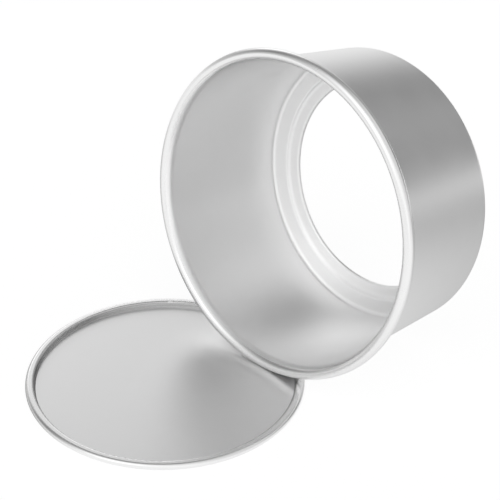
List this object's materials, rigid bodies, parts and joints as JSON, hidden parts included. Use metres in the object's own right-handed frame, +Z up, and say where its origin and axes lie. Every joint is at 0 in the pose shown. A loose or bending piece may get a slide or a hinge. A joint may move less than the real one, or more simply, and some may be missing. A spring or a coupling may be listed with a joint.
{
  "type": "round cake tin",
  "caption": "Deep round cake tin with a tapered wall, rolled rim and stepped ledge round its push-out hole, lying on its side with its loose disc base in front.",
  "frame": {"origin": "centre of the loose base's flat underside, on the surface that both pieces lie on", "axes": "+Z up, square to the base; the tin's axis lies above the X direction with its mouth to -X and its foot to +X, and dips towards its foot"},
  "size_m": [0.2772, 0.2306, 0.2159],
  "materials": {
    "tin": "satin silver anodised sheet",
    "base": "satin silver anodised sheet"
  },
  "bodies": {
    "base": {"loose_base": "base"},
    "tin": {"tin_body": "tin"}
  },
  "joints": [
    {"name": "tin_tips_up", "type": "hinge", "parent": "base", "child": "tin", "pos_m": [0.15192, -0.03018, 0.00359], "axis": [0, 1, 0], "range_deg": [0, 79.41]}
  ]
}
